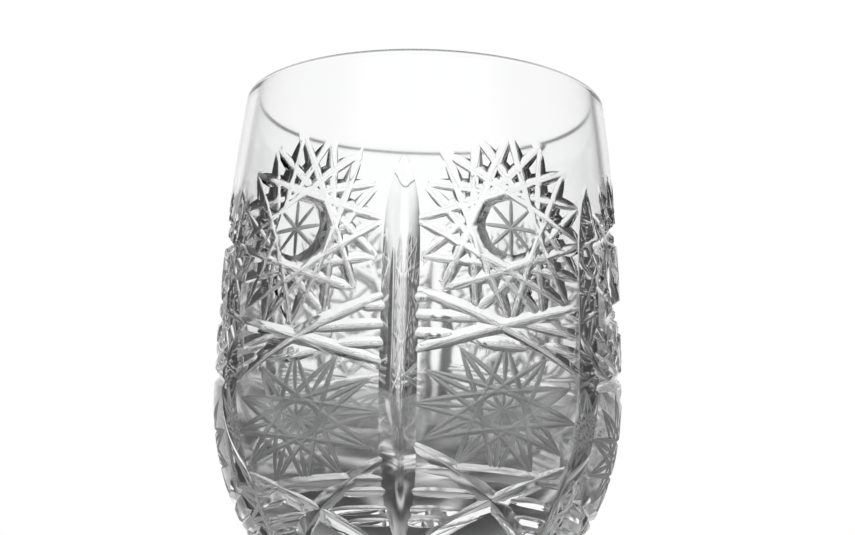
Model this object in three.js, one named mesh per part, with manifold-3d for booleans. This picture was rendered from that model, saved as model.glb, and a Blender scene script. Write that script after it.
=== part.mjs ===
// A stemmed vodka glass in cut crystal: a bowl, a stem and a foot, each made apart and welded hot.
// Millimetres, +Z up, the origin at the middle of the foot's underside.

import * as THREE from 'three';
import { mergeVertices } from 'three/addons/utils/BufferGeometryUtils.js';
import Module from 'manifold-3d';

const wasm = await Module();
wasm.setup();

// Heights: the foot, the stem on it, and the bowl from its rim down to its underside and its short neck.
const footHeight = 9;
const stemLength = 63;
const undersideDepth = 60.1;
const neckLength = 1.9;

// Bowl, outside: two quarter ellipses that meet at the belly, and a neck that runs into the stem.
const rimDiameter = 40;
const bellyDiameter = 44.8;
const bellyDepth = 34.4;
const neckStartDiameter = 16;
const weldDiameter = 10.4;

// Bowl, inside: a thin ground lip, a wall that grows heavier below its even part, and a thick base.
const lipWall = 1.2;
const lipCorner = 0.1;
const evenWallDepth = 13.5;
const bellyWall = 2.6;
const baseThickness = 12.5;

// Panels round the bowl, with an upright mitre between each two, from below the lip to above the underside.
const panelCount = 6;
const uprightTopDepth = 13;
const uprightEndRise = 7.1;
const uprightCutDepth = 1.35;
const uprightHalfAngle = THREE.MathUtils.degToRad(52);

// Crossed mitres, two pairs on each panel: where they cross, and how far up and down they spread at its sides.
const crossHalfAngle = THREE.MathUtils.degToRad(51);
const crossCutDepth = 0.6;
const crossHalfWidth = 11.2;
const upperCrossDepth = 31.1;
const upperCrossSpread = 3.9;
const lowerCrossRise = 10.9;
const lowerCrossSpread = 5.3;

// Hobstar: chords between every third of eight points leave a raised hob in the middle.
const hobstarDepth = 19.7;
const hobstarRadius = 10.6;
const hobstarPoints = 8;
const hobstarStep = 3;
const hobstarCutDepth = 0.95;
const hobstarHalfAngle = THREE.MathUtils.degToRad(48);

// Flat star, midway between the crossings: shallow cuts through its middle, each with a point at both ends.
const flatStarHalfWidth = 10.2;
const flatStarHalfHeight = 7.2;
const flatStarPoints = 12;
const flatStarCutDepth = 0.3;
const flatStarHalfAngle = THREE.MathUtils.degToRad(54);

// Stem: a round drawn rod with six ground facets, round again at both welds.
const stemWaistDiameter = 8.6;
const stemBaseDiameter = 13;
const stemFlareLength = 9;
const facetCount = 6;
const facetAcross = 7.4;
const facetWheelRadius = 13;

// Foot: a disc with a thin edge that rises to the stem, and a star cut under it.
const footDiameter = 57;
const footEdgeHeight = 2;
const footShoulderDiameter = 46;
const baseStarRays = 16;
const baseStarInner = 1.2;
const baseStarOuter = 20;
const baseStarCutDepth = 0.9;
const baseStarHalfAngle = THREE.MathUtils.degToRad(60);

// How far every cutter stands proud of the surface that it cuts.
const cutterProud = 0.5;

// Facets that stand in for round surfaces, and straight runs that stand in for curved cuts.
const outsideSides = 48;
const insideSides = 36;
const stemSides = 36;
const footSides = 48;
const upperRings = 4;
const lowerRings = 7;
const insideRings = 6;
const wallRings = 3;
const uprightRuns = 8;
const crossRuns = 4;
const chordRuns = 3;
const rayRuns = 2;
const runOutRuns = 4;

// How a cut's depth falls off towards its ends: a pointed leaf, or an even depth with short ends.
const leafShape = 2;
const evenShape = 6;

const bowlHeight = undersideDepth + neckLength;
const totalHeight = footHeight + stemLength + bowlHeight;
const rimRadius = rimDiameter / 2;
const bellyRadius = bellyDiameter / 2;
const weldRadius = weldDiameter / 2;
const lowerCrossDepth = undersideDepth - lowerCrossRise;
const flatStarDepth = (upperCrossDepth + lowerCrossDepth) / 2;
const panelAngle = (2 * Math.PI) / panelCount;

// Geometry to solid and back. Triangles that the merge has closed up are dropped.
function solidOf(geometry) {
  geometry.deleteAttribute('normal');
  geometry.deleteAttribute('uv');
  const merged = mergeVertices(geometry, 1e-5);
  const corners = merged.index.array;
  const kept = [];
  for (let i = 0; i < corners.length; i += 3) {
    const [a, b, c] = corners.slice(i, i + 3);
    if (a !== b && b !== c && c !== a) kept.push(a, b, c);
  }
  const mesh = new wasm.Mesh({
    numProp: 3,
    vertProperties: new Float32Array(merged.attributes.position.array),
    triVerts: new Uint32Array(kept),
  });
  return new wasm.Manifold(mesh);
}

function geometryOf(solid) {
  const mesh = solid.getMesh();
  const geometry = new THREE.BufferGeometry();
  geometry.setAttribute('position', new THREE.BufferAttribute(mesh.vertProperties, 3));
  geometry.setIndex(new THREE.BufferAttribute(mesh.triVerts, 1));
  geometry.computeVertexNormals();
  return geometry;
}

// A profile of [radius, height] pairs, turned round the upright axis.
function revolve(profile, sides) {
  const points = profile.map(([radius, height]) => new THREE.Vector2(radius, height));
  return new THREE.LatheGeometry(points, sides).rotateX(Math.PI / 2);
}

// Points along a quarter ellipse from its end on the axis of the radius to its end on the upright axis.
function ellipsePoint(centreHeight, radius, rise, angle) {
  return [radius * Math.cos(angle), centreHeight + rise * Math.sin(angle)];
}

function curvePoints(start, control, end, steps) {
  const curve = new THREE.QuadraticBezierCurve(
    new THREE.Vector2(...start), new THREE.Vector2(...control), new THREE.Vector2(...end));
  return curve.getPoints(steps).map((point) => [point.x, point.y]);
}

// The bowl's outside: the half heights of its two ellipses follow from the rim and the underside.
const upperHalfHeight = bellyDepth / Math.sqrt(1 - (rimRadius / bellyRadius) ** 2);
const lowerHalfHeight = undersideDepth - bellyDepth;

function halfHeightAt(depth) {
  return depth < bellyDepth ? upperHalfHeight : lowerHalfHeight;
}

function outerRadius(depth) {
  return bellyRadius * Math.sqrt(1 - ((depth - bellyDepth) / halfHeightAt(depth)) ** 2);
}

function outerSlope(depth) {
  const halfHeight = halfHeightAt(depth);
  return (-(bellyRadius ** 2) * (depth - bellyDepth)) / (halfHeight ** 2 * outerRadius(depth));
}

// A place on the bowl's outside: its azimuth from the front, and its depth below the rim.
function onBowl(azimuth, depth) {
  const radius = outerRadius(depth);
  const point = new THREE.Vector3(
    radius * Math.sin(azimuth), -radius * Math.cos(azimuth), totalHeight - depth);
  const normal = new THREE.Vector3(Math.sin(azimuth), -Math.cos(azimuth), outerSlope(depth));
  return { point, normal: normal.normalize() };
}

// A place on one panel: how far it lies across from the panel's middle, and its depth below the rim.
function onPanel(middleAzimuth) {
  return ([across, depth]) => onBowl(middleAzimuth + across / bellyRadius, depth);
}

// A V-shaped wheel cut from one place on a surface to another, deepest in the middle and pointed at its ends.
function mitre(surface, from, to, { cutDepth, halfAngle, runs, shape }) {
  const places = [];
  for (let i = 0; i <= runs; i += 1) {
    const along = i / runs;
    places.push(surface([from[0] + (to[0] - from[0]) * along, from[1] + (to[1] - from[1]) * along]));
  }
  const positions = [];
  places.forEach(({ point, normal }, i) => {
    const before = places[Math.max(i - 1, 0)].point;
    const after = places[Math.min(i + 1, runs)].point;
    const side = new THREE.Vector3().subVectors(after, before).cross(normal).normalize();
    const depth = cutDepth * (1 - Math.abs((2 * i) / runs - 1) ** shape);
    const halfWidth = (depth + cutterProud) * Math.tan(halfAngle);
    const top = point.clone().addScaledVector(normal, cutterProud);
    positions.push(...point.clone().addScaledVector(normal, -depth).toArray());
    positions.push(...top.clone().addScaledVector(side, halfWidth).toArray());
    positions.push(...top.clone().addScaledVector(side, -halfWidth).toArray());
  });
  const index = [0, 1, 2];
  for (let i = 0; i < runs; i += 1) {
    for (let corner = 0; corner < 3; corner += 1) {
      const a = 3 * i + corner;
      const b = 3 * i + ((corner + 1) % 3);
      index.push(a, a + 3, b, b, a + 3, b + 3);
    }
  }
  index.push(3 * runs, 3 * runs + 2, 3 * runs + 1);
  const geometry = new THREE.BufferGeometry();
  geometry.setAttribute('position', new THREE.Float32BufferAttribute(positions, 3));
  geometry.setIndex(index);
  return geometry;
}

// The points of a star on a panel, from its top point round.
function starPoint(star, i) {
  const turn = (2 * Math.PI * i) / star.points;
  return [star.halfWidth * Math.sin(turn), star.depth - star.halfHeight * Math.cos(turn)];
}

// The cuts of a star, each from one point to the point that lies some steps further round.
function starCutters(surface, star, cuts, step) {
  const cutters = [];
  for (let i = 0; i < cuts; i += 1) {
    cutters.push(mitre(surface, starPoint(star, i), starPoint(star, i + step), star));
  }
  return cutters;
}

function crossCutters(surface, depth, spread) {
  return [-1, 1].map((hand) => {
    const from = [-crossHalfWidth, depth - hand * spread];
    const to = [crossHalfWidth, depth + hand * spread];
    return mitre(surface, from, to, crossCut);
  });
}

const uprightCut = {
  cutDepth: uprightCutDepth,
  halfAngle: uprightHalfAngle,
  runs: uprightRuns,
  shape: evenShape,
};

const crossCut = {
  cutDepth: crossCutDepth,
  halfAngle: crossHalfAngle,
  runs: crossRuns,
  shape: leafShape,
};

const hobstar = {
  depth: hobstarDepth,
  halfWidth: hobstarRadius,
  halfHeight: hobstarRadius,
  points: hobstarPoints,
  cutDepth: hobstarCutDepth,
  halfAngle: hobstarHalfAngle,
  runs: chordRuns,
  shape: leafShape,
};

const flatStar = {
  depth: flatStarDepth,
  halfWidth: flatStarHalfWidth,
  halfHeight: flatStarHalfHeight,
  points: flatStarPoints,
  cutDepth: flatStarCutDepth,
  halfAngle: flatStarHalfAngle,
  runs: chordRuns,
  shape: leafShape,
};

const baseStarCut = {
  cutDepth: baseStarCutDepth,
  halfAngle: baseStarHalfAngle,
  runs: rayRuns,
  shape: leafShape,
};

// Bowl: the outside blank from the weld up to the rim and over its top.
function bowlOutside() {
  const neckAngle = Math.acos(neckStartDiameter / bellyDiameter);
  const bellyHeight = totalHeight - bellyDepth;
  const weldHeight = totalHeight - bowlHeight;
  const neckStart = ellipsePoint(bellyHeight, bellyRadius, -lowerHalfHeight, neckAngle);
  const neckSlope = outerSlope(totalHeight - neckStart[1]);
  const neckControl = [weldRadius, neckStart[1] + (neckStart[0] - weldRadius) / neckSlope];
  const profile = [[0, weldHeight]];
  profile.push(...curvePoints([weldRadius, weldHeight], neckControl, neckStart, 4));
  for (let i = lowerRings - 1; i >= 0; i -= 1) {
    profile.push(ellipsePoint(bellyHeight, bellyRadius, -lowerHalfHeight, (neckAngle * i) / lowerRings));
  }
  for (let i = 1; i < upperRings; i += 1) {
    const depth = bellyDepth * (1 - i / upperRings);
    profile.push([outerRadius(depth), totalHeight - depth]);
  }
  profile.push([rimRadius, totalHeight - lipCorner]);
  profile.push([rimRadius - lipCorner, totalHeight]);
  profile.push([0, totalHeight]);
  return solidOf(revolve(profile, outsideSides));
}

// Bowl: the space inside, from the bottom of the hollow up through the lip.
function bowlInside() {
  const floorHeight = totalHeight - undersideDepth + baseThickness;
  const bellyHeight = totalHeight - bellyDepth;
  const radius = bellyRadius - bellyWall;
  const profile = [];
  for (let i = 0; i <= insideRings; i += 1) {
    const angle = (Math.PI / 2) * (1 - i / insideRings);
    profile.push(ellipsePoint(bellyHeight, radius, floorHeight - bellyHeight, angle));
  }
  profile[0][0] = 0;
  const lip = rimRadius - lipWall;
  for (let i = 1; i <= wallRings; i += 1) {
    const share = i / wallRings;
    const depth = bellyDepth + (evenWallDepth - bellyDepth) * share;
    const thickness = bellyWall + (lipWall - bellyWall) * share;
    profile.push([outerRadius(depth) - thickness, totalHeight - depth]);
  }
  profile.push([lip, totalHeight - lipCorner]);
  profile.push([lip + lipCorner, totalHeight]);
  profile.push([lip + lipCorner, totalHeight + cutterProud]);
  profile.push([0, totalHeight + cutterProud]);
  return solidOf(revolve(profile, insideSides));
}

function makeBowl() {
  let bowl = bowlOutside().subtract(bowlInside());
  for (let panel = 0; panel < panelCount; panel += 1) {
    const upright = onPanel(panelAngle * panel);
    const surface = onPanel(panelAngle * (panel + 0.5));
    const cutters = [
      mitre(upright, [0, uprightTopDepth], [0, undersideDepth - uprightEndRise], uprightCut),
      ...crossCutters(surface, upperCrossDepth, upperCrossSpread),
      ...crossCutters(surface, lowerCrossDepth, lowerCrossSpread),
      ...starCutters(surface, hobstar, hobstarPoints, hobstarStep),
      ...starCutters(surface, flatStar, flatStarPoints / 2, flatStarPoints / 2),
    ];
    for (const cutter of cutters) bowl = bowl.subtract(solidOf(cutter));
  }
  return geometryOf(bowl);
}

// Stem: the round rod, flared at both welds.
function stemRod() {
  const top = footHeight + stemLength;
  const waistRadius = stemWaistDiameter / 2;
  const lowerFlare = curvePoints(
    [stemBaseDiameter / 2, footHeight],
    [waistRadius, footHeight + stemFlareLength / 3],
    [waistRadius, footHeight + stemFlareLength],
    6,
  );
  const upperFlare = curvePoints(
    [waistRadius, top - stemFlareLength],
    [waistRadius, top - stemFlareLength / 3],
    [weldRadius, top],
    4,
  );
  return revolve([[0, footHeight], ...lowerFlare, ...upperFlare, [0, top]], stemSides);
}

// Stem: a many-sided sleeve whose flats are the facets. Its ends curve away from the rod as the wheel does.
function facetSleeve() {
  const top = footHeight + stemLength;
  const reach = stemFlareLength + cutterProud;
  const runOut = [];
  for (let i = 0; i <= runOutRuns; i += 1) {
    const beyond = (reach * i) / runOutRuns;
    const spread = facetAcross / 2 + beyond ** 2 / (2 * facetWheelRadius);
    runOut.push([spread / Math.cos(Math.PI / facetCount), beyond]);
  }
  const lower = runOut.map(([radius, beyond]) => [radius, footHeight + stemFlareLength - beyond]).reverse();
  const upper = runOut.map(([radius, beyond]) => [radius, top - stemFlareLength + beyond]);
  const start = [0, footHeight - cutterProud];
  const end = [0, top + cutterProud];
  return revolve([start, ...lower, ...upper, end], facetCount);
}

function makeStem() {
  return geometryOf(solidOf(stemRod()).intersect(solidOf(facetSleeve())));
}

// Foot: the turned disc, and the rays of the star under it.
function makeFoot() {
  const footRadius = footDiameter / 2;
  const edge = footEdgeHeight / 2;
  const shoulder = [footShoulderDiameter / 2, footEdgeHeight + edge];
  const weld = [stemBaseDiameter / 2, footHeight];
  const profile = [[0, 0], [footRadius - edge, 0]];
  const edgeSteps = 4;
  for (let i = 1; i <= edgeSteps; i += 1) {
    const angle = (Math.PI * i) / edgeSteps - Math.PI / 2;
    profile.push([footRadius - edge + edge * Math.cos(angle), edge + edge * Math.sin(angle)]);
  }
  profile.push(...curvePoints(shoulder, [weld[0], shoulder[1] + edge], weld, 7));
  profile.push([0, footHeight]);
  let foot = solidOf(revolve(profile, footSides));
  const underside = ([across, along]) => ({
    point: new THREE.Vector3(across, along, 0),
    normal: new THREE.Vector3(0, 0, -1),
  });
  for (let ray = 0; ray < baseStarRays; ray += 1) {
    const turn = (2 * Math.PI * (ray + 0.5)) / baseStarRays;
    const from = [baseStarInner * Math.sin(turn), baseStarInner * Math.cos(turn)];
    const to = [baseStarOuter * Math.sin(turn), baseStarOuter * Math.cos(turn)];
    foot = foot.subtract(solidOf(mitre(underside, from, to, baseStarCut)));
  }
  return geometryOf(foot);
}

// Clear lead crystal, the same batch of glass in all three pieces.
function crystal() {
  return new THREE.MeshStandardMaterial({ color: 0xf2f4f5, roughness: 0.03, metalness: 0 });
}

function piece(name, geometry) {
  const mesh = new THREE.Mesh(geometry, crystal());
  mesh.name = name;
  return mesh;
}

const glass = new THREE.Group();
glass.add(piece('bowl', makeBowl()));
glass.add(piece('stem', makeStem()));
glass.add(piece('foot', makeFoot()));

export default glass;
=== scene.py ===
"""A stemmed vodka glass in wheel-cut crystal, on a plain pale floor. Metres, in the CAD model's frame."""

import math
from collections import namedtuple

import bmesh
import bpy
from mathutils import Matrix, Vector


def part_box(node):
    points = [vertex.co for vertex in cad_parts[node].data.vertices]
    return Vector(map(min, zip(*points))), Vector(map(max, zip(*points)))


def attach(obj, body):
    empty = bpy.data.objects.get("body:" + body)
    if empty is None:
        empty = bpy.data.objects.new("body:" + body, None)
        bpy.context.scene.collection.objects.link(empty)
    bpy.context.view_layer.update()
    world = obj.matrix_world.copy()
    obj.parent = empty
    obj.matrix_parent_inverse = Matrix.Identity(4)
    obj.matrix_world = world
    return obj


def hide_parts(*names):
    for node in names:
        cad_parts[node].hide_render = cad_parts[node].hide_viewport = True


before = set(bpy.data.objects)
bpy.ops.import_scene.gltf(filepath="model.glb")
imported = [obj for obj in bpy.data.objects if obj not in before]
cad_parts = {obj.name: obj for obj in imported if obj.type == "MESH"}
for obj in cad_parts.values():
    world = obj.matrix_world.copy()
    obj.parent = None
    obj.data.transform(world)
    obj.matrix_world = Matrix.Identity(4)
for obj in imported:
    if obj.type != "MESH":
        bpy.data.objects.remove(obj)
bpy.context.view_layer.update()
scene = bpy.context.scene

MM = 0.001
BODY = "root"

# Heights and the foot's radius, from the frame
RIM_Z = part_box("bowl")[1][2]
BOWL_WELD_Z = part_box("bowl")[0][2]
FOOT_WELD_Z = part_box("foot")[1][2]
FOOT_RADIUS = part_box("foot")[1][0]

# Bowl, outside and inside
RIM_RADIUS = 20.0 * MM
BELLY_RADIUS = 22.4 * MM
BELLY_DEPTH = 34.4 * MM
UNDERSIDE_DEPTH = 60.1 * MM
NECK_START_RADIUS = 8.0 * MM
WELD_RADIUS = 5.2 * MM
LIP_WALL = 1.2 * MM
LIP_CORNER = 0.1 * MM
EVEN_WALL_DEPTH = 13.5 * MM
EVEN_WALL_BLEND = 2.0 * MM
BELLY_WALL = 2.6 * MM
BASE_THICKNESS = 12.5 * MM

# Stem and foot
STEM_WAIST_RADIUS = 4.3 * MM
STEM_BASE_RADIUS = 6.5 * MM
STEM_FLARE = 9.0 * MM
FACETS = 6
FACET_INRADIUS = 3.7 * MM
FACET_WHEEL_RADIUS = 13.0 * MM
FOOT_EDGE = 1.0 * MM
FOOT_SHOULDER_RADIUS = 23.0 * MM
FOOT_SHOULDER_HEIGHT = 3.0 * MM
FOOT_BEND_HEIGHT = 4.0 * MM
BASE_RAYS = 16
BASE_RAY_INNER = 1.2 * MM
BASE_RAY_OUTER = 20.0 * MM

# Panels of the decoration
PANELS = 6
UPRIGHT_TOP = 13.0 * MM
UPRIGHT_BOTTOM = 53.0 * MM
PANEL_EDGE = 11.2 * MM
UPPER_CROSS = 31.1 * MM
UPPER_SPREAD = 3.9 * MM
UPPER_LINES = (-2.5 * MM, -0.5 * MM, 1.5 * MM)
EYE_DROP = 2.0 * MM
EYE_HALF = 3.4 * MM
LOWER_CROSS = 49.2 * MM
LOWER_SPREAD = 5.3 * MM
LOWER_LINES = (-1.0 * MM, 0.7 * MM, 1.9 * MM)
BAND_RISE = 2.7 * MM
HOBSTAR_DEPTH = 19.7 * MM
HOBSTAR_RADIUS = 10.6 * MM
HOB_RAY = 3.5 * MM
LINE_GAP = 0.6 * MM
FLAT_STAR_DEPTH = 40.0 * MM
FLAT_STAR_WIDTH = 10.2 * MM
FLAT_STAR_HEIGHT = 7.2 * MM

# Where the cutter's hand set each motif, across and down from its ruled place, on every second panel in turn
HOBSTAR_SHIFTS = ((0.35 * MM, 0.0), (-0.75 * MM, 0.0))
UPPER_CROSS_SHIFTS = ((-0.6 * MM, -0.5 * MM), (-0.4 * MM, 0.5 * MM))
FLAT_STAR_SHIFTS = ((-0.25 * MM, -0.45 * MM), (0.05 * MM, 0.5 * MM))
LOWER_CROSS_SHIFTS = ((0.6 * MM, -0.5 * MM), (0.2 * MM, 0.5 * MM))

# Stars: their points, how many points further round each chord ends, and the shares of a flat star's size at
# which its rays stop and its heart begins
HOBSTAR_POINTS = 8
HOBSTAR_STEP = 3
FLAT_STAR_POINTS = 12
FLAT_STAR_STEP = 5
RAY_INNER_SHARE = 0.34
HEART_SHARE = 0.28

# Mesh fineness
TURN_STEPS = 180
STEM_STEPS = 96
NECK_STEPS = 10
LOWER_STEPS = 32
UPPER_STEPS = 36
UPPER_BUNCHING = 1.5
LIP_STEPS = 12
INSIDE_STEPS = 56
FLARE_STEPS = 16
FOOT_EDGE_STEPS = 12
FOOT_RISE_STEPS = 28
CARD_STEPS = 48
FLOOR_STEPS = 96
SHARP_ANGLE = math.radians(33)

# How far a cutter stands proud of the glass, how close points are merged, and how level or inward a face is
CUTTER_PROUD = 0.35 * MM
MERGE = 0.0005 * MM
LEVEL = 0.99
INWARD = -0.05

# Finishes, by material slot
POLISHED = 0
MATTE = 1
WELD = 2
INSIDE = 3

CLEAR = (0.995, 0.999, 0.998, 1.0)
GROUND = (0.35, 0.355, 0.355, 1.0)
CRYSTAL_IOR = 1.54
POLISH_GRAIN = (220.0, 0.002 * MM)
WHEEL_GRAIN = (2600.0, 0.01 * MM)
GRAIN_DETAIL = 2.0
POLISHED_ROUGHNESS = 0.0
MATTE_ROUGHNESS = 0.6
INSIDE_ROUGHNESS = 0.08
INSIDE_BASE_ROUGHNESS = 0.18

# The heights between which the inside turns from its rougher base to its smoother wall
ROUGH_BASE = (RIM_Z - 46.0 * MM, RIM_Z - 38.0 * MM)

# A wheel's cut: its depth, half the angle and the nose radius of the wheel's edge, its straight runs, and
# its shape along its length, from a pointed leaf to an even depth with short ends
WheelCut = namedtuple("WheelCut", "depth half_angle nose runs shape")
LEAF = 2
BLUNT = 4
EVEN = 6
UPRIGHT_CUT = WheelCut(1.35 * MM, math.radians(52), 1.1 * MM, 28, EVEN)
ARM_CUT = WheelCut(0.5 * MM, math.radians(52), 0.5 * MM, 16, BLUNT)
LINE_CUT = WheelCut(0.4 * MM, math.radians(52), 0.5 * MM, 8, BLUNT)
EYE_CUT = WheelCut(0.5 * MM, math.radians(55), 0.5 * MM, 8, LEAF)
LOW_ARM_CUT = WheelCut(0.75 * MM, math.radians(52), 0.1 * MM, 16, BLUNT)
LOW_LINE_CUT = WheelCut(0.42 * MM, math.radians(52), 0.08 * MM, 8, BLUNT)
BAND_CUT = WheelCut(0.65 * MM, math.radians(52), 0.08 * MM, 8, BLUNT)
CHORD_CUT = WheelCut(1.15 * MM, math.radians(33), 0.7 * MM, 14, LEAF)
FINE_CHORD_CUT = WheelCut(1.05 * MM, math.radians(33), 0.7 * MM, 14, LEAF)
HOB_RAY_CUT = WheelCut(0.2 * MM, math.radians(48), 0.06 * MM, 8, EVEN)
STAR_CHORD_CUT = WheelCut(0.22 * MM, math.radians(55), 0.08 * MM, 12, BLUNT)
STAR_RAY_CUT = WheelCut(0.2 * MM, math.radians(55), 0.08 * MM, 8, LEAF)
STAR_HEART_CUT = WheelCut(0.16 * MM, math.radians(55), 0.08 * MM, 6, BLUNT)
BASE_RAY_CUT = WheelCut(0.9 * MM, math.radians(60), 0.3 * MM, 12, LEAF)

# A cutter's section: corners round each side of its nose, then the two corners of its top
NOSE_CORNERS = 2
SECTION_SIDES = 2 * NOSE_CORNERS + 3

# Camera: below the bowl and a little to the right of an upright mitre, looking up
CAMERA_DISTANCE = 373.0 * MM
CAMERA_BELOW_RIM = 122.5 * MM
CAMERA_AZIMUTH = math.radians(5.5)
CAMERA_YAW = math.radians(0.11)
CAMERA_PITCH = math.radians(15.54)
CAMERA_ROLL = math.radians(1.42)
FOCAL_PIXELS = 3480.0
IMAGE_WIDTH = 855.0
SENSOR_WIDTH = 36.0
CAMERA_CLIP = 10.0 * MM

# Light through the glass: how often it may bounce, and no blur added where it comes from the floor
GLASS_BOUNCES = 24
GLASS_BLUR = 0.0

# Studio: the ceiling's greys by the height of a direction, and the floor just under the foot
CEILING = ((0.74, 1.0), (0.80, 0.03))
FLOOR_GAP = 0.2 * MM
FLOOR_RADIUS = 3.0
FLOOR_GREY = 0.8

# Painted shade: dark cards that only light through the glass sees, a screen round the back with a window in
# it and a sheet on the floor, so that the glass shows dark where the studio and floor are pale.
# Angles are turns from the camera's line of sight, distances are from the glass's axis, and shares say how
# far a card is open.
CARD_REACH = 2.0
SCREEN_PAINTED_SHADE = 0.02
SCREEN_TOP = 3.0
SCREEN_END = (math.radians(118), math.radians(140))
WINDOW_TURN = math.radians(-3)
WINDOW_HALF_TURN = math.radians(35)
WINDOW_MIDDLE = 1.03
WINDOW_DROP = 0.76
WINDOW_EDGE = (0.65, 1.25)
SHEET_PAINTED_SHADE = 0.005
SHEET_START = 50.0 * MM
SHEET_NEAR = (60.0 * MM, 100.0 * MM)
NEAR_SHARE = 0.14
SHEET_FAR = (200.0 * MM, 265.0 * MM)
FAR_SHARE = 0.26
SHEET_SIDE = (math.radians(28), math.radians(42))
SIDE_FADE = (420.0 * MM, 600.0 * MM)
SIDE_SHARE = 0.6
LANE_EDGE = (math.radians(7), math.radians(14))
LANE_START = (200.0 * MM, 700.0 * MM)
LANE_SHARE = 0.5
SHEET_END = (math.radians(58), math.radians(72))


class Wire:
    """An output socket. Arithmetic on it adds Math nodes to its tree."""

    def __init__(self, socket):
        self.socket = socket

    def maths(self, operation, first, second):
        tree = self.socket.id_data
        return add_node(tree, "ShaderNodeMath", {"operation": operation}, {0: first, 1: second})

    def __add__(self, other):
        return self.maths("ADD", self, other)

    def __sub__(self, other):
        return self.maths("SUBTRACT", self, other)

    def __rsub__(self, other):
        return self.maths("SUBTRACT", other, self)

    def __mul__(self, other):
        return self.maths("MULTIPLY", self, other)

    __radd__ = __add__
    __rmul__ = __mul__


def add_node(tree, kind, settings=None, inputs=None, output=0):
    """Adds a node, sets it up, feeds its sockets and returns one of its outputs as a Wire."""
    node = tree.nodes.new(kind)
    for name, value in (settings or {}).items():
        if name == "stops":
            set_stops(node.color_ramp, value)
        else:
            setattr(node, name, value)
    for name, value in (inputs or {}).items():
        if isinstance(value, Wire):
            tree.links.new(value.socket, node.inputs[name])
        else:
            node.inputs[name].default_value = value
    return Wire(node.outputs[output]) if node.outputs else node


def set_stops(ramp, stops):
    """Gives a colour ramp its stops, as pairs of a place and a grey."""
    while len(ramp.elements) < len(stops):
        ramp.elements.new(1.0)
    for element, (place, grey) in zip(ramp.elements, stops):
        element.position = place
        element.color = (grey, grey, grey, 1.0)


def soft_step(tree, value, limits):
    """Rises smoothly from 0 to 1 between two limits."""
    return add_node(tree, "ShaderNodeMapRange", {"interpolation_type": "SMOOTHSTEP"},
                    {"Value": value, "From Min": limits[0], "From Max": limits[1]})


def new_material(name):
    material = bpy.data.materials.new(name)
    material.use_nodes = True
    material.node_tree.nodes.clear()
    return material, material.node_tree


def crystal(name, tint, roughness, grain, base_roughness=None):
    """Clear lead crystal. The grain is the scale and the height of its small unevenness."""
    grain_scale, grain_height = grain
    material, tree = new_material(name)
    where = add_node(tree, "ShaderNodeTexCoord", output="Object")
    uneven = add_node(tree, "ShaderNodeTexNoise", {}, {
        "Vector": where,
        "Scale": grain_scale,
        "Detail": GRAIN_DETAIL,
    })
    relief = add_node(tree, "ShaderNodeBump", {}, {
        "Height": uneven,
        "Strength": 1.0,
        "Distance": grain_height,
    })
    if base_roughness is not None:
        height = add_node(tree, "ShaderNodeSeparateXYZ", {}, {"Vector": where}, "Z")
        roughness = base_roughness + soft_step(tree, height, ROUGH_BASE) * (roughness - base_roughness)
    glass = add_node(tree, "ShaderNodeBsdfPrincipled", {}, {
        "Base Color": tint,
        "Roughness": roughness,
        "IOR": CRYSTAL_IOR,
        "Transmission Weight": 1.0,
        "Normal": relief,
    })
    add_node(tree, "ShaderNodeOutputMaterial", {}, {"Surface": glass})
    return material


def weld_glass():
    """The faces where two pieces are fused: light passes them as if they were not there."""
    material, tree = new_material("fused_weld")
    clear = add_node(tree, "ShaderNodeBsdfPrincipled", {}, {"Alpha": 0.0})
    add_node(tree, "ShaderNodeOutputMaterial", {}, {"Surface": clear})
    return material


def outer_half_height(depth):
    if depth < BELLY_DEPTH:
        return BELLY_DEPTH / math.sqrt(1 - (RIM_RADIUS / BELLY_RADIUS) ** 2)
    return UNDERSIDE_DEPTH - BELLY_DEPTH


def outer_radius(depth):
    """The bowl's outside radius at a depth below the rim: two quarter ellipses that meet at the belly."""
    return BELLY_RADIUS * math.sqrt(1 - ((depth - BELLY_DEPTH) / outer_half_height(depth)) ** 2)


def outer_slope(depth):
    below_belly = depth - BELLY_DEPTH
    return -(BELLY_RADIUS / outer_half_height(depth)) ** 2 * below_belly / outer_radius(depth)


def wall(depth):
    """How thick the bowl is at a depth above its belly: even below the lip, then steadily heavier."""
    beyond = depth - EVEN_WALL_DEPTH
    growth = (beyond + math.sqrt(beyond ** 2 + EVEN_WALL_BLEND ** 2)) / 2
    return LIP_WALL + (BELLY_WALL - LIP_WALL) * growth / (BELLY_DEPTH - EVEN_WALL_DEPTH)


def on_panel(azimuth, drop=0.0):
    """Places on the bowl's outside, across from an azimuth and down from the rim, each with its normal."""
    def place(across, depth):
        turn = azimuth + across / BELLY_RADIUS
        level = depth + drop
        outward = Vector((math.sin(turn), -math.cos(turn), 0))
        point = outward * outer_radius(level) + Vector((0, 0, RIM_Z - level))
        return point, (outward + Vector((0, 0, outer_slope(level)))).normalized()
    return place


def on_underside(across, along):
    return Vector((across, along, 0)), Vector((0, 0, -1))


def wheel_section(cut, corner, top):
    """Half the width and the height of a wheel's edge at a corner, counted from its nose up to its top."""
    flank = math.pi / 2 - cut.half_angle
    turn = flank * min(corner, NOSE_CORNERS) / NOSE_CORNERS
    half_width, height = cut.nose * math.sin(turn), cut.nose * (1 - math.cos(turn))
    if corner <= NOSE_CORNERS:
        return half_width, height
    return half_width + (top - height) * math.tan(cut.half_angle), top


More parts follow.
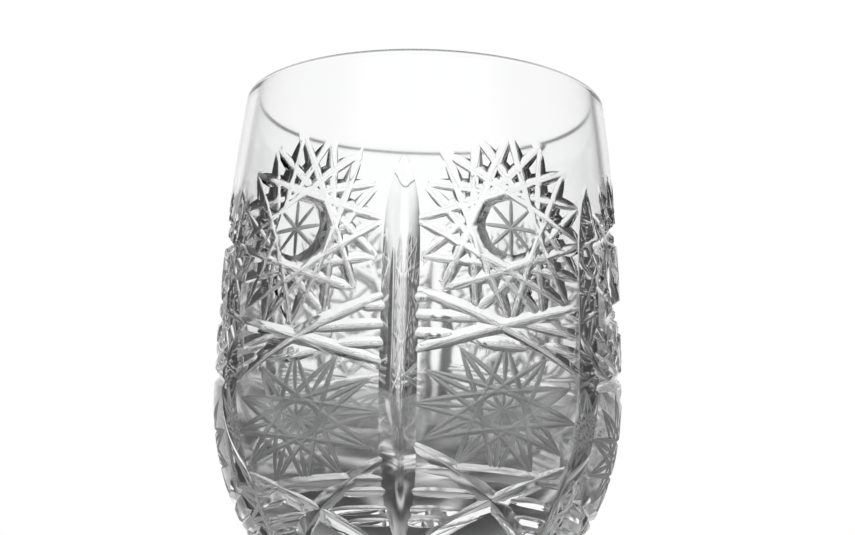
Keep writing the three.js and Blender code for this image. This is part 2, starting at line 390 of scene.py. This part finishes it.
def wheel_cutter(bm, place, start, end, cut):
    """Adds a round-nosed V cutter laid over a surface from start to end, deepest in the middle."""
    before = len(bm.verts)
    ends = bmesh.ops.create_cone(
        bm, cap_ends=True, segments=SECTION_SIDES, radius1=1, radius2=1, depth=2)["verts"]
    edges = {edge for vert in ends for edge in vert.link_edges}
    rails = [edge for edge in edges if edge.verts[0].co.z * edge.verts[1].co.z < 0]
    bmesh.ops.subdivide_edges(bm, edges=rails, cuts=cut.runs - 1, use_grid_fill=True)
    bm.verts.ensure_lookup_table()
    start, end = Vector(start), Vector(end)
    step = (end - start) / (2 * cut.runs)
    for vert in bm.verts[before:]:
        middle = start.lerp(end, (vert.co.z + 1) / 2)
        point, normal = place(*middle)
        ahead = place(*(middle + step))[0] - place(*(middle - step))[0]
        side = ahead.cross(normal).normalized()
        depth = cut.depth * (1 - abs(vert.co.z) ** cut.shape)
        corner = round(math.atan2(vert.co.x, vert.co.y) * SECTION_SIDES / math.tau)
        half_width, height = wheel_section(cut, abs(corner), depth + CUTTER_PROUD)
        vert.co = point + normal * (height - depth) + side * math.copysign(half_width, corner)


def new_piece(name, bm):
    """Closes a bmesh into a mesh object."""
    bmesh.ops.remove_doubles(bm, verts=bm.verts, dist=MERGE)
    bmesh.ops.recalc_face_normals(bm, faces=bm.faces)
    mesh = bpy.data.meshes.new(name)
    bm.to_mesh(mesh)
    bm.free()
    piece = bpy.data.objects.new(name, mesh)
    scene.collection.objects.link(piece)
    return piece


def turned(name, outline, steps):
    """A solid of revolution from an outline of radius and height that starts and ends on the axis."""
    bm = bmesh.new()
    rail = [bm.verts.new((0, -radius, height)) for radius, height in outline]
    edges = [bm.edges.new(pair) for pair in zip(rail, rail[1:])]
    bmesh.ops.spin(
        bm, geom=rail + edges, cent=(0, 0, 0), axis=(0, 0, 1), angle=math.tau, steps=steps, use_merge=True)
    return new_piece(name, bm)


def combine(piece, tool, operation):
    """Cuts a piece with a tool, or keeps what they share."""
    modifier = piece.modifiers.new(operation.lower(), "BOOLEAN")
    modifier.operation = operation
    modifier.solver = "MANIFOLD"
    modifier.material_mode = "INDEX"
    modifier.object = tool


def settle(piece, tools):
    """Makes a piece's modifiers part of its mesh, takes the tools away and marks the crisp edges."""
    shape = bpy.context.evaluated_depsgraph_get()
    mesh = bpy.data.meshes.new_from_object(piece.evaluated_get(shape))
    piece.modifiers.clear()
    plain = piece.data
    piece.data = mesh
    mesh.name = plain.name
    bpy.data.meshes.remove(plain)
    for tool in tools:
        bpy.data.meshes.remove(tool.data)
    mesh.shade_smooth()
    mesh.set_sharp_from_angle(angle=SHARP_ANGLE)


def carve(piece, passes):
    """Cuts a piece with each pass in turn. The cutters of one pass never touch each other."""
    tools = []
    for finish, cutters in passes:
        bm = bmesh.new()
        for cutter in cutters:
            wheel_cutter(bm, *cutter)
        for face in bm.faces:
            face.material_index = finish
        tool = new_piece("cutter", bm)
        for material in piece.data.materials:
            tool.data.materials.append(material)
        tools.append(tool)
        combine(piece, tool, "DIFFERENCE")
    settle(piece, tools)


def curve(start, control, end, steps):
    """Points on a quadratic curve, both ends included."""
    points = []
    for i in range(steps + 1):
        t = i / steps
        points.append(tuple(
            (1 - t) ** 2 * a + 2 * t * (1 - t) * b + t ** 2 * c for a, b, c in zip(start, control, end)))
    return points


def bowl_outline():
    """The bowl's section: up the outside from the weld, over the lip and down the inside."""
    neck_depth = BELLY_DEPTH + outer_half_height(UNDERSIDE_DEPTH) * math.sqrt(
        1 - (NECK_START_RADIUS / BELLY_RADIUS) ** 2)
    neck_top = (NECK_START_RADIUS, RIM_Z - neck_depth)
    bend = (WELD_RADIUS, neck_top[1] + (NECK_START_RADIUS - WELD_RADIUS) / outer_slope(neck_depth))
    outline = [(0, BOWL_WELD_Z)] + curve((WELD_RADIUS, BOWL_WELD_Z), bend, neck_top, NECK_STEPS)
    start = math.acos(NECK_START_RADIUS / BELLY_RADIUS)
    lower = UNDERSIDE_DEPTH - BELLY_DEPTH
    for i in range(1, LOWER_STEPS + 1):
        angle = start * (1 - i / LOWER_STEPS)
        outline.append((BELLY_RADIUS * math.cos(angle), RIM_Z - BELLY_DEPTH - lower * math.sin(angle)))
    shares = [(i / UPPER_STEPS) ** UPPER_BUNCHING for i in range(UPPER_STEPS)]
    above = [LIP_CORNER + (BELLY_DEPTH - LIP_CORNER) * share for share in shares]
    outline += [(outer_radius(depth), RIM_Z - depth) for depth in reversed(above)]
    lip_top = LIP_STEPS // 2
    for i in range(1, LIP_STEPS + 1):
        angle = math.pi * i / LIP_STEPS
        middle = RIM_RADIUS - (LIP_CORNER if i <= lip_top else LIP_WALL - LIP_CORNER)
        outline.append((middle + LIP_CORNER * math.cos(angle), RIM_Z - LIP_CORNER * (1 - math.sin(angle))))
        if i == lip_top:
            outline.append((RIM_RADIUS - LIP_WALL + LIP_CORNER, RIM_Z))
    outline += [(outer_radius(depth) - wall(depth), RIM_Z - depth) for depth in above[1:]]
    inside = BELLY_RADIUS - wall(BELLY_DEPTH)
    floor_drop = UNDERSIDE_DEPTH - BASE_THICKNESS - BELLY_DEPTH
    lean = (BELLY_WALL - LIP_WALL) / (BELLY_DEPTH - EVEN_WALL_DEPTH) * floor_drop / inside
    half_height = floor_drop * (1 - lean) / (1 - 2 * lean)
    start = math.asin(1 - floor_drop / half_height)
    for i in range(INSIDE_STEPS + 1):
        angle = start + (math.pi / 2 - start) * i / INSIDE_STEPS
        outline.append((
            inside * math.cos(angle) / math.cos(start),
            RIM_Z - BELLY_DEPTH - floor_drop + half_height * (1 - math.sin(angle))))
    outline[-1] = (0, outline[-1][1])
    return outline


def star_point(middle, width, height, turn):
    """A star's point at a turn from its top, as a place across and down a panel."""
    return (width * math.sin(turn), middle - height * math.cos(turn))


def star_chords(panels, middle, width, height, points, step, offset, cut):
    """Passes of chords between a star's points. Opposite chords are parallel, so they share a pass."""
    passes = []
    for i in range(points // 2):
        cutters = []
        for place in panels:
            for first in (i, i + points // 2):
                turns = [math.tau * (first + k) / points + offset for k in (0, step)]
                ends = [star_point(middle, width, height, turn) for turn in turns]
                cutters.append((place, *ends, cut))
        passes.append(cutters)
    return passes


def star_diameters(panels, middle, width, height, points, cut):
    """Passes of cuts right across a star's middle."""
    passes = []
    for i in range(points // 2):
        turn = math.tau * i / points
        ends = [star_point(middle, width, height, turn + half) for half in (0, math.pi)]
        passes.append([(place, *ends, cut) for place in panels])
    return passes


def star_rays(panels, middle, width, height, points, inner, cut):
    """One pass of cuts that run in from a star's points and stop short of its middle."""
    cutters = []
    for place in panels:
        for i in range(points):
            turn = math.tau * i / points
            outside = star_point(middle, width, height, turn)
            inside = star_point(middle, width * inner, height * inner, turn)
            cutters.append((place, outside, inside, cut))
    return cutters


def panel_places(shifts):
    """Every panel's places on the bowl, set over by the cutter's hand."""
    places = []
    for i in range(PANELS):
        across, drop = shifts[i % len(shifts)]
        places.append(on_panel(math.tau * (i + 0.5) / PANELS + across / BELLY_RADIUS, drop))
    return places


def crossings(depth, spread, shifts):
    """Every panel's crossing: places on the panel, the crossing's place across, and its depth and spread."""
    found = []
    for i in range(PANELS):
        across, drop = shifts[i % len(shifts)]
        found.append((on_panel(math.tau * (i + 0.5) / PANELS), across, depth + drop, spread))
    return found


def cross_arm(crosses, hand, cut):
    """One pass of one arm of every crossing, from edge to edge of its panel."""
    cutters = []
    for place, middle, depth, spread in crosses:
        left = hand * spread * (1 + middle / PANEL_EDGE)
        right = hand * spread * (1 - middle / PANEL_EDGE)
        cutters.append((place, (-PANEL_EDGE, depth - left), (PANEL_EDGE, depth + right), cut))
    return cutters


def level_lines(crosses, rise, cut, ruled=None):
    """One pass of a level cut in each triangle beside every crossing, by a ruled depth or the crossing's."""
    cutters = []
    for place, middle, depth, spread in crosses:
        level = (ruled or depth) + rise
        reach = PANEL_EDGE * abs(level - depth) / spread + LINE_GAP
        for inner, outer in ((middle - reach, -PANEL_EDGE), (middle + reach, PANEL_EDGE)):
            cutters.append((place, (inner, level), (outer, level), cut))
    return cutters


def level_bars(crosses, rise, half_length, cut):
    """One pass of a level cut above or below every crossing."""
    cutters = []
    for place, middle, depth, spread in crosses:
        ends = [(middle + hand * half_length, depth + rise) for hand in (-1, 1)]
        cutters.append((place, *ends, cut))
    return cutters


def make_bowl(finishes):
    bowl = turned("cut_bowl", bowl_outline(), TURN_STEPS)
    for finish in finishes:
        bowl.data.materials.append(finish)
    panel_turn = math.tau / PANELS
    hobstars = panel_places(HOBSTAR_SHIFTS)
    flat_stars = panel_places(FLAT_STAR_SHIFTS)
    upper = crossings(UPPER_CROSS, UPPER_SPREAD, UPPER_CROSS_SHIFTS)
    lower = crossings(LOWER_CROSS, LOWER_SPREAD, LOWER_CROSS_SHIFTS)
    seams = [on_panel(panel_turn * i) for i in range(PANELS)]

    star = (FLAT_STAR_DEPTH, FLAT_STAR_WIDTH, FLAT_STAR_HEIGHT)
    hob = (HOBSTAR_DEPTH, HOBSTAR_RADIUS, HOBSTAR_RADIUS)
    heart = (FLAT_STAR_DEPTH, FLAT_STAR_WIDTH * HEART_SHARE, FLAT_STAR_HEIGHT * HEART_SHARE)
    clear = [[(seam, (0, UPRIGHT_TOP), (0, UPRIGHT_BOTTOM), UPRIGHT_CUT) for seam in seams]]
    clear += [level_lines(upper, rise, LINE_CUT) for rise in UPPER_LINES]
    clear += [level_lines(lower, rise, LOW_LINE_CUT, LOWER_CROSS) for rise in LOWER_LINES]
    clear.append(level_bars(upper, EYE_DROP, EYE_HALF, EYE_CUT))
    clear.append(level_bars(lower, -BAND_RISE, PANEL_EDGE - LINE_GAP, BAND_CUT))
    for hand in (-1, 1):
        clear.append(cross_arm(upper, hand, ARM_CUT) + cross_arm(lower, hand, LOW_ARM_CUT))
    for offset, cut in ((0, CHORD_CUT), (math.pi / HOBSTAR_POINTS, FINE_CHORD_CUT)):
        clear += star_chords(hobstars, *hob, HOBSTAR_POINTS, HOBSTAR_STEP, offset, cut)
    ground = star_diameters(hobstars, HOBSTAR_DEPTH, HOB_RAY, HOB_RAY, HOBSTAR_POINTS, HOB_RAY_CUT)
    ground += star_chords(flat_stars, *star, FLAT_STAR_POINTS, FLAT_STAR_STEP, 0, STAR_CHORD_CUT)
    ground.append(star_rays(flat_stars, *star, FLAT_STAR_POINTS, RAY_INNER_SHARE, STAR_RAY_CUT))
    ground += star_diameters(flat_stars, *heart, FLAT_STAR_POINTS, STAR_HEART_CUT)
    carve(bowl, [(POLISHED, cutters) for cutters in clear] + [(MATTE, cutters) for cutters in ground])
    for face in bowl.data.polygons:
        outward = Vector((face.center.x, face.center.y, 0)).normalized()
        if face.material_index == POLISHED and face.normal.dot(outward) < INWARD:
            face.material_index = INSIDE
    return bowl


def make_stem(finishes):
    waist = STEM_WAIST_RADIUS
    low, high = FOOT_WELD_Z, BOWL_WELD_Z
    rod = [(0, low)]
    bend = STEM_FLARE / 3
    rod += curve((STEM_BASE_RADIUS, low), (waist, low + bend), (waist, low + STEM_FLARE), FLARE_STEPS)
    rod += curve((waist, high - STEM_FLARE), (waist, high - bend), (WELD_RADIUS, high), FLARE_STEPS)
    rod.append((0, high))
    stem = turned("faceted_stem", rod, STEM_STEPS)
    run_out = []
    for i in range(FLARE_STEPS + 1):
        beyond = (STEM_FLARE + CUTTER_PROUD) * i / FLARE_STEPS
        spread = FACET_INRADIUS + beyond ** 2 / (2 * FACET_WHEEL_RADIUS)
        run_out.append((spread / math.cos(math.pi / FACETS), beyond))
    sleeve = [(0, low - CUTTER_PROUD)]
    sleeve += [(radius, low + STEM_FLARE - beyond) for radius, beyond in reversed(run_out)]
    sleeve += [(radius, high - STEM_FLARE + beyond) for radius, beyond in run_out]
    sleeve.append((0, high + CUTTER_PROUD))
    facets = turned("facets", sleeve, FACETS)
    for finish in finishes:
        stem.data.materials.append(finish)
        facets.data.materials.append(finish)
    combine(stem, facets, "INTERSECT")
    settle(stem, [facets])
    return stem


def make_foot(finishes):
    edge = FOOT_EDGE
    outline = [(0, 0), (FOOT_RADIUS - edge, 0)]
    for i in range(1, FOOT_EDGE_STEPS + 1):
        angle = math.pi * i / FOOT_EDGE_STEPS - math.pi / 2
        outline.append((FOOT_RADIUS - edge + edge * math.cos(angle), edge + edge * math.sin(angle)))
    shoulder = (FOOT_SHOULDER_RADIUS, FOOT_SHOULDER_HEIGHT)
    bend = (STEM_BASE_RADIUS, FOOT_BEND_HEIGHT)
    outline += curve(shoulder, bend, (STEM_BASE_RADIUS, FOOT_WELD_Z), FOOT_RISE_STEPS)
    outline.append((0, FOOT_WELD_Z))
    foot = turned("star_foot", outline, TURN_STEPS)
    for finish in finishes:
        foot.data.materials.append(finish)
    passes = []
    for i in range(BASE_RAYS):
        turn = math.tau * (i + 0.5) / BASE_RAYS
        reaches = (BASE_RAY_INNER, BASE_RAY_OUTER)
        ends = [(reach * math.sin(turn), reach * math.cos(turn)) for reach in reaches]
        passes.append((POLISHED, [(on_underside, *ends, BASE_RAY_CUT)]))
    carve(foot, passes)
    return foot


def mark_welds(piece, heights):
    """Gives the flat faces at a weld the finish of fused glass."""
    for face in piece.data.polygons:
        level = any(abs(face.center.z - height) < MERGE for height in heights)
        if level and abs(face.normal.z) > LEVEL:
            face.material_index = WELD


def plain_material(name, grey):
    material, tree = new_material(name)
    surface = add_node(tree, "ShaderNodeBsdfDiffuse", {}, {"Color": (grey, grey, grey, 1.0)})
    add_node(tree, "ShaderNodeOutputMaterial", {}, {"Surface": surface})
    return material


def make_floor():
    bm = bmesh.new()
    bmesh.ops.create_circle(bm, cap_ends=True, segments=FLOOR_STEPS, radius=FLOOR_RADIUS)
    bmesh.ops.translate(bm, verts=bm.verts, vec=(0, 0, -FLOOR_GAP))
    floor = new_piece("floor", bm)
    floor.data.materials.append(plain_material("pale_floor", FLOOR_GREY))


def painted_shade_card(name, grey, rail, half_spread, opening):
    """Painted shade: a dark card bent round the back of the glass, which makes the clear glass dark at its
    edges.

    Only light through the glass sees it, and the studio shows through it where it is open.
    """
    bm = bmesh.new()
    ends = [bm.verts.new((0, radius, height)) for radius, height in rail]
    edge = bm.edges.new(ends)
    bmesh.ops.rotate(bm, verts=ends, matrix=Matrix.Rotation(CAMERA_AZIMUTH - half_spread, 3, "Z"))
    bmesh.ops.spin(bm, geom=ends + [edge], axis=(0, 0, 1), angle=2 * half_spread, steps=CARD_STEPS)
    card = new_piece(name, bm)
    material, tree = new_material(name)
    where = add_node(tree, "ShaderNodeTexCoord", output="Object")
    faced = add_node(tree, "ShaderNodeMapping", {}, {"Vector": where, "Rotation": (0, 0, -CAMERA_AZIMUTH)})
    across, back, height = [
        add_node(tree, "ShaderNodeSeparateXYZ", {}, {"Vector": faced}, axis) for axis in ("X", "Y", "Z")]
    turn = across.maths("ARCTAN2", across, back)
    reach = across.maths("SQRT", across * across + back * back, 0.0)
    dark = add_node(tree, "ShaderNodeBsdfDiffuse", {}, {"Color": (grey, grey, grey, 1.0)})
    clear = add_node(tree, "ShaderNodeBsdfTransparent")
    bounced = add_node(tree, "ShaderNodeLightPath", output="Diffuse Depth")
    open_share = opening(tree, turn, height, reach) + bounced
    shown = add_node(tree, "ShaderNodeMixShader", {}, {0: open_share, 1: dark, 2: clear})
    add_node(tree, "ShaderNodeOutputMaterial", {}, {"Surface": shown})
    card.data.materials.append(material)
    card.visible_camera = False
    card.visible_diffuse = False
    card.visible_glossy = False
    card.visible_shadow = False


# Painted shade seen only through the glass: each card is dark except where its shares open it to the studio.
def make_painted_shade_cards():
    def beside(turn, middle):
        return turn.maths("ABSOLUTE", turn - middle, 0.0)

    def lane(tree, turn):
        return (1 - soft_step(tree, beside(turn, 0.0), LANE_EDGE)) * LANE_SHARE

    def screen(tree, turn, height, reach):
        across = beside(turn, WINDOW_TURN) * (1 / WINDOW_HALF_TURN)
        down = height.maths("MINIMUM", height - WINDOW_MIDDLE, 0.0) * (1 / WINDOW_DROP)
        window = 1 - soft_step(tree, across * across + down * down, WINDOW_EDGE)
        light = window.maths("MAXIMUM", window, lane(tree, turn))
        return light + soft_step(tree, beside(turn, 0.0), SCREEN_END)

    def sheet(tree, turn, height, reach):
        near = (1 - soft_step(tree, reach, SHEET_NEAR)) * NEAR_SHARE
        far = soft_step(tree, reach, SHEET_FAR) * FAR_SHARE
        light = lane(tree, turn) * soft_step(tree, reach, LANE_START)
        aside = soft_step(tree, beside(turn, 0.0), SHEET_SIDE) * (1 - soft_step(tree, reach, SIDE_FADE))
        return near + far + light + aside * SIDE_SHARE + soft_step(tree, beside(turn, 0.0), SHEET_END)

    upright = [(CARD_REACH, 0), (CARD_REACH, SCREEN_TOP)]
    flat = [(SHEET_START, 0), (CARD_REACH, 0)]
    painted_shade_card("painted_shade_screen", SCREEN_PAINTED_SHADE, upright, SCREEN_END[1], screen)
    painted_shade_card("painted_shade_sheet", SHEET_PAINTED_SHADE, flat, SHEET_END[1], sheet)


def make_world():
    """A white studio with a dark ceiling, for the camera and the glass. A plain dome lights the floor."""
    world = bpy.data.worlds.new("studio")
    scene.world = world
    world.use_nodes = True
    tree = world.node_tree
    tree.nodes.clear()
    where = add_node(tree, "ShaderNodeTexCoord", output="Generated")
    height = add_node(tree, "ShaderNodeSeparateXYZ", {}, {"Vector": where}, "Z")
    room = add_node(tree, "ShaderNodeValToRGB", {"stops": CEILING}, {"Fac": height})
    seen = [add_node(tree, "ShaderNodeLightPath", output="Is %s Ray" % kind)
            for kind in ("Camera", "Glossy", "Transmission")]
    bounced = add_node(tree, "ShaderNodeLightPath", output="Diffuse Depth")
    shown = (seen[0] + seen[1] + seen[2]) * (1 - bounced)
    dome = add_node(tree, "ShaderNodeBackground", {}, {"Color": (1.0, 1.0, 1.0, 1.0), "Strength": 1.0})
    studio = add_node(tree, "ShaderNodeBackground", {}, {"Color": room, "Strength": 1.0})
    sky = add_node(tree, "ShaderNodeMixShader", {}, {0: shown, 1: dome, 2: studio})
    add_node(tree, "ShaderNodeOutputWorld", {}, {"Surface": sky})


def make_camera():
    data = bpy.data.cameras.new("camera")
    data.sensor_width = SENSOR_WIDTH
    data.lens = SENSOR_WIDTH * FOCAL_PIXELS / IMAGE_WIDTH
    data.clip_start = CAMERA_CLIP
    camera = bpy.data.objects.new("camera", data)
    scene.collection.objects.link(camera)
    tilt = Matrix.Rotation(math.pi / 2 + CAMERA_PITCH, 4, "X")
    roll = Matrix.Rotation(CAMERA_ROLL, 4, "Z")
    swing = Matrix.Rotation(CAMERA_AZIMUTH, 4, "Z")
    stand = Matrix.Translation((0, -CAMERA_DISTANCE, RIM_Z - CAMERA_BELOW_RIM))
    yaw = Matrix.Rotation(-CAMERA_YAW, 4, "Z")
    camera.matrix_world = swing @ stand @ yaw @ tilt @ roll
    scene.camera = camera


polished = crystal("polished_crystal", CLEAR, POLISHED_ROUGHNESS, POLISH_GRAIN)
matte = crystal("matte_wheel_cut", GROUND, MATTE_ROUGHNESS, WHEEL_GRAIN)
fused = weld_glass()
inside = crystal("blown_inside", CLEAR, INSIDE_ROUGHNESS, POLISH_GRAIN, INSIDE_BASE_ROUGHNESS)
finishes = (polished, matte, fused, inside)

bowl = make_bowl(finishes)
mark_welds(bowl, [BOWL_WELD_Z])
stem = make_stem(finishes)
mark_welds(stem, [BOWL_WELD_Z, FOOT_WELD_Z])
foot = make_foot(finishes)
mark_welds(foot, [FOOT_WELD_Z])
for piece, node in ((bowl, "bowl"), (stem, "stem"), (foot, "foot")):
    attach(piece, BODY)
    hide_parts(node)

make_floor()
# Painted shade that only the glass shows: a dark screen and a dark sheet.
make_painted_shade_cards()
make_world()
make_camera()
scene.view_settings.view_transform = "Standard"
scene.cycles.max_bounces = GLASS_BOUNCES
scene.cycles.transmission_bounces = GLASS_BOUNCES
scene.cycles.blur_glossy = GLASS_BLUR
